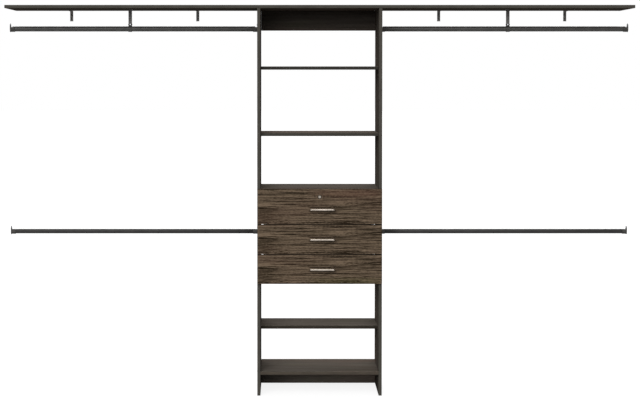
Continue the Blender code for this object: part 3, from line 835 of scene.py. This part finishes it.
# %% Handles
HANDLE_BAR, HANDLE_LEG = 0.006, 0.008
HANDLE_BEND, HANDLE_BEND_INSIDE, HANDLE_ROUND = 0.005, 0.002, 0.0012

low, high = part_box("drawer_1_handle")
bar_back = low.y + HANDLE_BAR
centre_x, centre_z = (low.x + high.x) / 2, (low.z + high.z) / 2
half_length = (high.x - low.x) / 2
handle = begin_block("handle", (centre_x, low.y + HANDLE_BAR / 2, centre_z),
                     (high.x - low.x, HANDLE_BAR, high.z - low.z))
for cut_x in (low.x + HANDLE_LEG, high.x - HANDLE_LEG):
    bpy.ops.mesh.select_all(action="SELECT")
    bpy.ops.mesh.bisect(plane_co=(cut_x, 0, 0), plane_no=(1, 0, 0))
pick(handle, "FACE", lambda middle, face: (
    face.normal.y > 0.9 and abs(middle.x - centre_x) > half_length - HANDLE_LEG))
push(y=high.y - bar_back)


def bend(y, from_centre, radius, steps):
    """Round the two upright edges at a depth and at a distance from the handle's middle."""
    pick(handle, "EDGE", lambda middle, edge: (
        at(middle.z, centre_z) and at(middle.y, y) and at(abs(middle.x - centre_x), from_centre)))
    bpy.ops.mesh.bevel(offset=radius, segments=steps)


bend(low.y, half_length, HANDLE_BEND, 6)
bend(bar_back, half_length - HANDLE_LEG, HANDLE_BEND_INSIDE, 4)
close(handle, HANDLE_ROUND, 3)
for number in (1, 2, 3):
    drawer = f"drawer_{number}"
    move = (0, 0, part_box(f"{drawer}_handle")[0].z - low.z)
    set_out(handle, f"{drawer}_pull", [(move, None, 0)], drawer, nickel, "satin_nickel", f"{drawer}_handle")
drop(handle)
print("handles: 3, each", round(2 * half_length, 4), "long")

# %% [markdown]
# The cam lock has a dark bevelled collar on a barrel, a paler plug with a key slot, and a cam that
# swings up into a pocket in the chest's top. Collar and plug are turned from a circle, ring by
# ring, and the slot is cut with a Boolean. The cam is a flat bar with round ends, and a hexagon
# bolt holds it on the barrel.

# %% Lock
LOCK_FACE, LOCK_RADIUS, PLUG_RADIUS, PLUG_BACK = 0.002, 0.0095, 0.0062, 0.0006
SLOT_WIDTH, SLOT_LENGTH, SLOT_DEPTH = 0.0014, 0.0065, 0.0012
CAM_STEEL, CAM_WIDTH = 0.002, 0.010
CAM_CORNER_SHARE, CAM_EDGE = 0.46, 0.0003
BARREL_RADIUS, LOCK_SIDES = 0.008, 48

low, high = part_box("drawer_lock")
lock_z = high.z - LOCK_RADIUS
cam_front, face_back = high.y - CAM_STEEL, low.y + LOCK_FACE
collar = close(turned_part("collar", [
    (BARREL_RADIUS, face_back - cam_front), (BARREL_RADIUS, 0), (LOCK_RADIUS, 0), (LOCK_RADIUS, 0.0007),
    (0.0086, 0.0016), (0.0076, LOCK_FACE), (0.0070, LOCK_FACE), (0.0067, 0.0017), (0.0066, PLUG_BACK),
], LOCK_SIDES))
plug = close(turned_part("plug", [
    (PLUG_RADIUS, PLUG_BACK), (PLUG_RADIUS, 0.0016), (0.0058, LOCK_FACE - 0.0001),
], LOCK_SIDES))
slot = close(begin_block("slot", (0, 0, LOCK_FACE), (SLOT_WIDTH, SLOT_LENGTH, 2 * SLOT_DEPTH)))
cut_away(plug, slot)
bpy.ops.object.shade_smooth_by_angle(angle=SMOOTH_ANGLE)
cam_bolt = hexagon_bolt("cam bolt", 0.0038, 0.0020)

cam_end = CAM_WIDTH / 2
cam = begin_block("lock_cam", ((low.x + cam_end) / 2, high.y - CAM_STEEL / 2, lock_z),
                  (cam_end - low.x, CAM_STEEL, CAM_WIDTH))
pick(cam, "EDGE", lambda middle, edge: at(reach(edge, 1), CAM_STEEL))
bpy.ops.mesh.bevel(offset=CAM_WIDTH * CAM_CORNER_SHARE, segments=8)
belongs(close(cam, CAM_EDGE), "lock", zinc, "satin_nickel")

FRONT, REAR = (0, -1, 0), (0, 1, 0)
in_front = [((0, face_back, lock_z), FRONT, 0)]
set_out(collar, "lock_collar", in_front, "lock", black_nickel, "satin_nickel", "drawer_lock")
set_out(plug, "lock_plug", in_front, "lock", worn_nickel, "satin_nickel")
set_out(cam_bolt, "lock_cam_bolt", [((0, high.y, lock_z), REAR, 0)], "lock", zinc, "zinc_steel")
drop(collar, plug, slot, cam_bolt)
print("lock with", round(cam_front - face_back, 4), "long barrel")

# %% [markdown]
# Small screws with a cross recess hold the fittings. The head is a filled circle that is
# extruded and scaled into a dome. A cube that is pushed out to a plus and narrowed at its tip is
# then taken away from it with a Boolean, like the punch that forms the recess.

# %% Screws
HEAD_SIDES = 20
DOME_SHARES = ((1, 0), (1, 0.35), (0.9, 0.7), (0.68, 0.93), (0.4, 1))
ARM_SHARE, WIDTH_SHARE, DEPTH_SHARE, TIP_SHARE = 0.55, 0.2, 0.6, 0.45


def cross_punch(arm, width, depth, top):
    """A tapered plus, with its wide end at the top, that cuts a cross recess."""
    punch = begin_block("punch", (0, 0, top), (width, width, 2 * depth))
    half = width / 2
    for x, y in ((1, 0), (-1, 0), (0, 1), (0, -1)):
        pick(punch, "FACE", lambda middle, face: (
            at(face.normal.dot((x, y, 0)), 1) and at(middle.x, half * x) and at(middle.y, half * y)))
        push((arm - half) * x, (arm - half) * y)
    pick(punch, "FACE", lambda middle, face: face.normal.z < -0.9)
    bpy.ops.transform.resize(value=(TIP_SHARE, TIP_SHARE, 1), center_override=(0, 0, top - depth))
    return close(punch)


def screw_part(name, radius, height):
    """A domed screw head with a cross recess, which sits on z = 0 and faces +Z."""
    screw = close(turned_part(name, [(radius * wide, height * up) for wide, up in DOME_SHARES], HEAD_SIDES))
    punch = cross_punch(radius * ARM_SHARE, radius * WIDTH_SHARE, height * DEPTH_SHARE, height)
    cut_away(screw, punch)
    drop(punch)
    bpy.ops.object.shade_smooth_by_angle(angle=SMOOTH_ANGLE)
    return screw


pan_screw = screw_part("pan screw", 0.0037, 0.0022)
flat_screw = screw_part("flat screw", 0.0034, 0.0012)
handle_screw = screw_part("handle screw", 0.0040, 0.0024)
print("screw heads: pan, flat and for the handles")

# %% [markdown]
# Each rod end has one screw above the rod and one inside it, put in before the rod. A hanger has
# two in the foot under the top shelf, and a bracket two in the wall and two up into the shelf. A
# hand-driven screw stops at any angle, so each recess gets its own turn, worked out from its place.

# %% Screws in the rod ends, hangers and brackets
DOWN = (0, 0, -1)
SIDES = (("left", -1), ("right", 1))
END_ABOVE, END_PLATE = 0.026, 0.002
HANGER_STEEL, BRACKET_STEEL = 0.0018, 0.002
SCREW_EDGE, FOOT_INSIDE = 0.010, 0.0109

rod_low, rod_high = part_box("upper_rod_left")
rod_y = (rod_low.y + rod_high.y) / 2
wall_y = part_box("top_shelf_left")[1].y

for level in ("upper", "lower"):
    low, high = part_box(f"{level}_rod_left")
    rod_z, rod_radius = (low.z + high.z) / 2, (high.z - low.z) / 2
    for side, sign in SIDES:
        for end, inward in (("wall", -sign), ("tower", sign)):
            name = f"{level}_rod_{end}_end_{side}"
            low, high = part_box(name)
            face_x = low.x + END_PLATE if inward > 0 else high.x - END_PLATE
            spots = [((face_x, rod_y, rod_z + up), (inward, 0, 0), 0.4 + up * 60)
                     for up in ((rod_radius + END_ABOVE) / 2, 0.0)]
            set_out(pan_screw, f"{name}_screws", spots, "frame", zinc, "zinc_steel")

for side in ("left", "right"):
    low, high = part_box(f"rod_hanger_{side}")
    hanger_x = (low.x + high.x) / 2
    spots = [((hanger_x, y, high.z - HANGER_STEEL), DOWN, y * 40)
             for y in (rod_y + FOOT_INSIDE, high.y - SCREW_EDGE)]
    set_out(pan_screw, f"rod_hanger_{side}_screws", spots, "frame", dark_steel, "dark_steel")
    for place in ("inner", "outer"):
        name = f"wall_bracket_{place}_{side}"
        low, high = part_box(name)
        middle_x = (low.x + high.x) / 2
        spots = [((middle_x, wall_y - BRACKET_STEEL, z), FRONT, z * 50)
                 for z in (high.z - 2 * SCREW_EDGE, low.z + SCREW_EDGE)]
        spots += [((middle_x, y, high.z - BRACKET_STEEL), DOWN, y * 30)
                  for y in (wall_y - 2 * SCREW_EDGE, low.y + SCREW_EDGE)]
        set_out(pan_screw, f"{name}_screws", spots, "frame", dark_steel, "dark_steel")
print("screws in 8 rod ends, 2 hangers and 4 brackets")

# %% [markdown]
# Above each hanger's loop a small dark clamp block pinches the strip, so that the loop can't open,
# and a bright hexagon bolt goes through it from the front. Together they are the bright spot with
# the dark line below that the photograph shows. The block is a cube with bevelled corners.

# %% Hanger clamps
CLAMP_SIZE = (0.0196, 0.0105, 0.0046)
CLAMP_CORNER, CLAMP_EDGE, CLAMP_ABOVE_ROD = 0.002, 0.0004, 0.0217
clamp_z = (rod_low.z + rod_high.z) / 2 + CLAMP_ABOVE_ROD
bolt = hexagon_bolt("bolt", 0.0036, 0.0022)
for side in ("left", "right"):
    name = f"rod_hanger_{side}"
    low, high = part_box(name)
    hanger_x = (low.x + high.x) / 2
    clamp = begin_block(f"{name}_clamp", (hanger_x, rod_y, clamp_z), CLAMP_SIZE)
    pick(clamp, "EDGE", lambda middle, edge: at(reach(edge, 2), CLAMP_SIZE[2]))
    bpy.ops.mesh.bevel(offset=CLAMP_CORNER, segments=3)
    belongs(close(clamp, CLAMP_EDGE), "frame", dark_plastic, "dark_plastic")
    spot = [((hanger_x, rod_y - CLAMP_SIZE[1] / 2, clamp_z), FRONT, 0)]
    set_out(bolt, f"{name}_bolt", spot, "frame", zinc, "zinc_steel")
drop(bolt)
print("hanger clamps: 2")

# %% [markdown]
# A drawer runs on nylon wheels. One sits at the front of each channel on the tower, inside the
# drawer's channel, and one at the back of each channel on the drawer. A wheel is a circle that is
# extruded ring by ring: a rim, a shallow dish and a hub, with a riveted steel axle. The screws of
# the channels and handles are set out with them.

# %% Runner wheels and screws
WHEEL_RADIUS, WHEEL_WIDTH, WHEEL_CORNER = 0.0138, 0.0065, 0.0008
WHEEL_FROM_END, WHEEL_OFF_WEB = 0.020, 0.0013
HUB, DISH, RUNNER_WEB = 0.0060, 0.0115, 0.0012
CABINET_SCREWS, BOX_SCREWS = (0.055, 0.03), (0.035, 0.055)

rim = WHEEL_RADIUS - WHEEL_CORNER
wheel = close(turned_part("wheel", [
    (0.0040, -0.0005), (HUB, -0.0005), (HUB, 0), (DISH, 0.0005), (rim, 0), (WHEEL_RADIUS, WHEEL_CORNER),
    (WHEEL_RADIUS, WHEEL_WIDTH - WHEEL_CORNER), (rim, WHEEL_WIDTH), (DISH, WHEEL_WIDTH - 0.0006),
    (HUB, WHEEL_WIDTH - 0.0006), (0.0055, WHEEL_WIDTH),
], sides=48))
axle = close(turned_part("axle", [
    (0.0022, -0.0012), (0.0022, WHEEL_WIDTH), (0.0034, WHEEL_WIDTH + 0.0001),
    (0.0034, WHEEL_WIDTH + 0.0007), (0.0020, WHEEL_WIDTH + 0.0009),
], sides=20))
for number in (1, 2, 3):
    drawer = f"drawer_{number}"
    for side, sign in SIDES:
        low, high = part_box(f"{drawer}_cabinet_runner_{side}")
        box_low, box_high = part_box(f"{drawer}_box_runner_{side}")
        z = (low.z + high.z) / 2
        cabinet_face = sign * (max(abs(low.x), abs(high.x)) - RUNNER_WEB)
        box_face = sign * (min(abs(box_low.x), abs(box_high.x)) + RUNNER_WEB)
        for body, face_x, facing, y, label in (
            ("frame", cabinet_face, -sign, low.y + WHEEL_FROM_END, "front"),
            (drawer, box_face, sign, high.y - WHEEL_FROM_END, "back"),
        ):
            spot = [((face_x + facing * WHEEL_OFF_WEB, y, z), (facing, 0, 0), 0)]
            set_out(wheel, f"{drawer}_{label}_wheel_{side}", spot, body, nylon, "dark_plastic")
            set_out(axle, f"{drawer}_{label}_axle_{side}", spot, body, zinc, "zinc_steel")
        spots = [((cabinet_face, y, z), (-sign, 0, 0), y * 20)
                 for y in (low.y + CABINET_SCREWS[0], (low.y + high.y) / 2, high.y - CABINET_SCREWS[1])]
        set_out(flat_screw, f"{drawer}_cabinet_runner_{side}_screws", spots, "frame", zinc, "zinc_steel")
        spots = [((box_face, y, z), (sign, 0, 0), y * 20)
                 for y in (low.y + BOX_SCREWS[0], high.y - BOX_SCREWS[1])]
        set_out(flat_screw, f"{drawer}_box_runner_{side}_screws", spots, drawer, zinc, "zinc_steel")
    low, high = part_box(f"{drawer}_handle")
    rear_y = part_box(f"{drawer}_front")[1].y
    spots = [((x, rear_y, (low.z + high.z) / 2), REAR, x * 30)
             for x in (low.x + HANDLE_LEG / 2, high.x - HANDLE_LEG / 2)]
    set_out(handle_screw, f"{drawer}_handle_screws", spots, drawer, zinc, "zinc_steel")
drop(wheel, axle)
print("runner wheels: 12")

# %% [markdown]
# Long screws through the tower's sides hold the shelves. A small domed cap of dark plastic covers
# each screw's head. Like the screws, it is a circle that is extruded and scaled.

# %% Cover caps
CAP_RADIUS, CAP_HEIGHT, CAP_FROM_EDGE = 0.0065, 0.0012, 0.055

cap = close(turned_part("cap", [
    (CAP_RADIUS, 0), (CAP_RADIUS, 0.0004), (CAP_RADIUS * 0.93, 0.0008), (CAP_RADIUS * 0.7, 0.0011),
    (CAP_RADIUS * 0.35, CAP_HEIGHT),
], sides=28))
for side, sign in SIDES:
    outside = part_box(f"tower_side_{side}")[0 if sign < 0 else 1].x
    spots = []
    for shelf in TOWER_SHELVES:
        low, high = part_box(shelf)
        spots += [((outside, y, (low.z + high.z) / 2), (sign, 0, 0), 0)
                  for y in (low.y + CAP_FROM_EDGE, high.y - CAP_FROM_EDGE)]
    set_out(cap, f"tower_side_{side}_caps", spots, "frame", dark_plastic, "dark_plastic")
drop(cap, pan_screw, flat_screw, handle_screw)
print("cover caps: 20")
